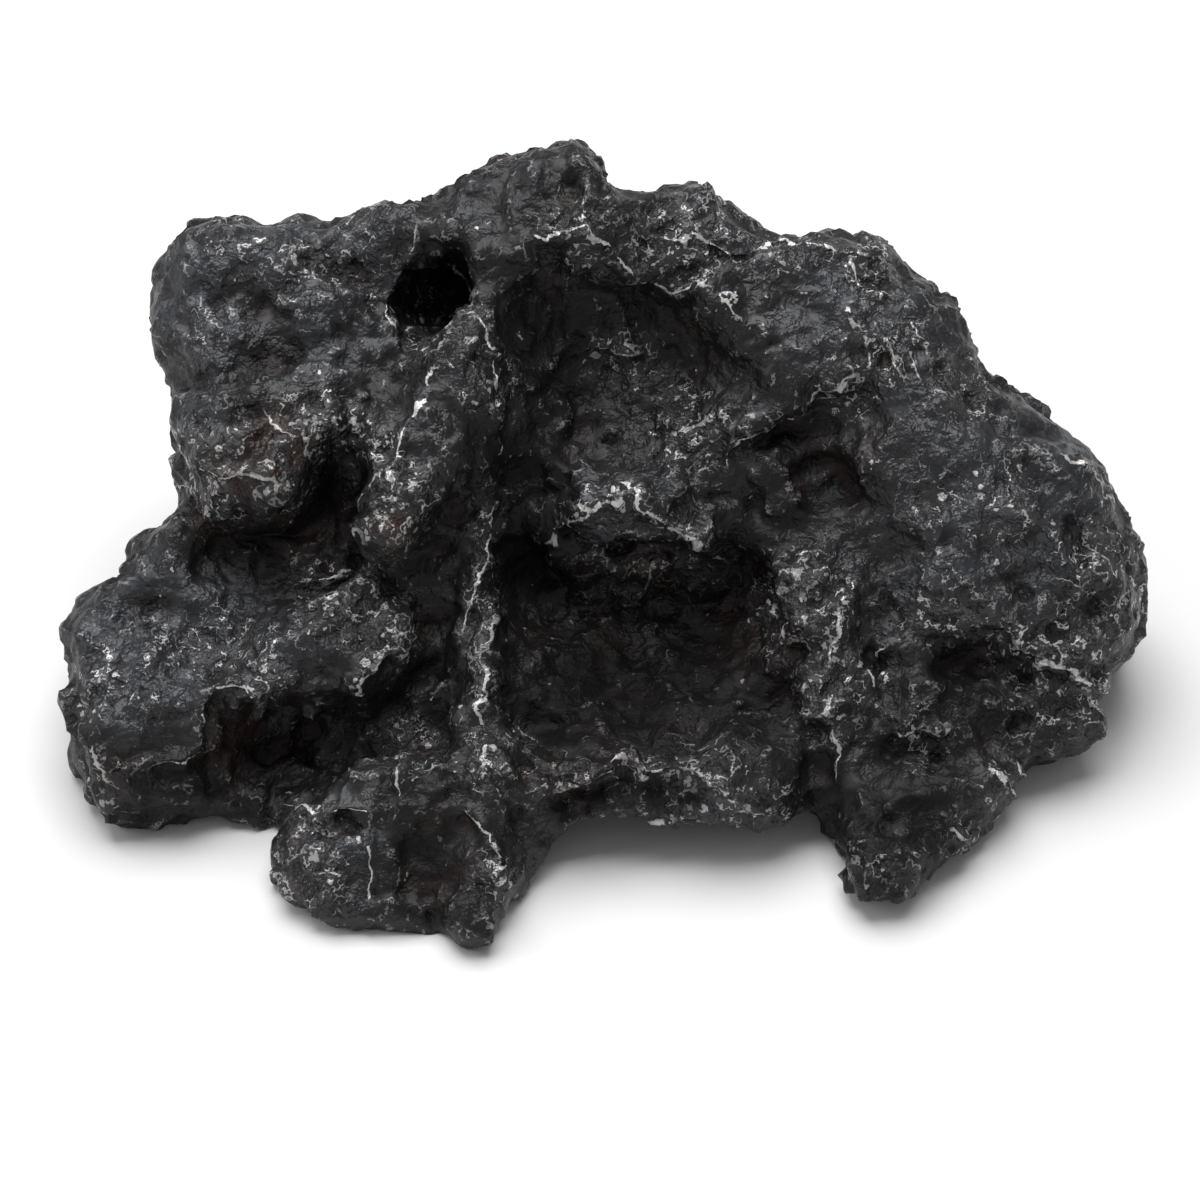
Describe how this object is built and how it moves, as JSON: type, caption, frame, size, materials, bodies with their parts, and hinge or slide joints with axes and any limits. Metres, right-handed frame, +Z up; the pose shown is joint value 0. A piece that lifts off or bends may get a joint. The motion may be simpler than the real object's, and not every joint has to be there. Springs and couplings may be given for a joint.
{
  "type": "meteorite",
  "caption": "Iron meteorite about 110 mm long, sculpted by thumbprint hollows, rests on its uneven base with its hollowed face leaning back, for display or as a natural history specimen",
  "frame": {"origin": "on the surface that the stone rests on, under the middle of its bounding box", "axes": "+Z up, +X along the stone's length, the hollowed face looks towards -Y and up"},
  "size_m": [0.11, 0.077, 0.0501],
  "materials": {
    "meteoric_iron": "rough gunmetal with worn bright rims"
  },
  "bodies": {
    "root": {"meteorite": "meteoric_iron"}
  },
  "joints": []
}
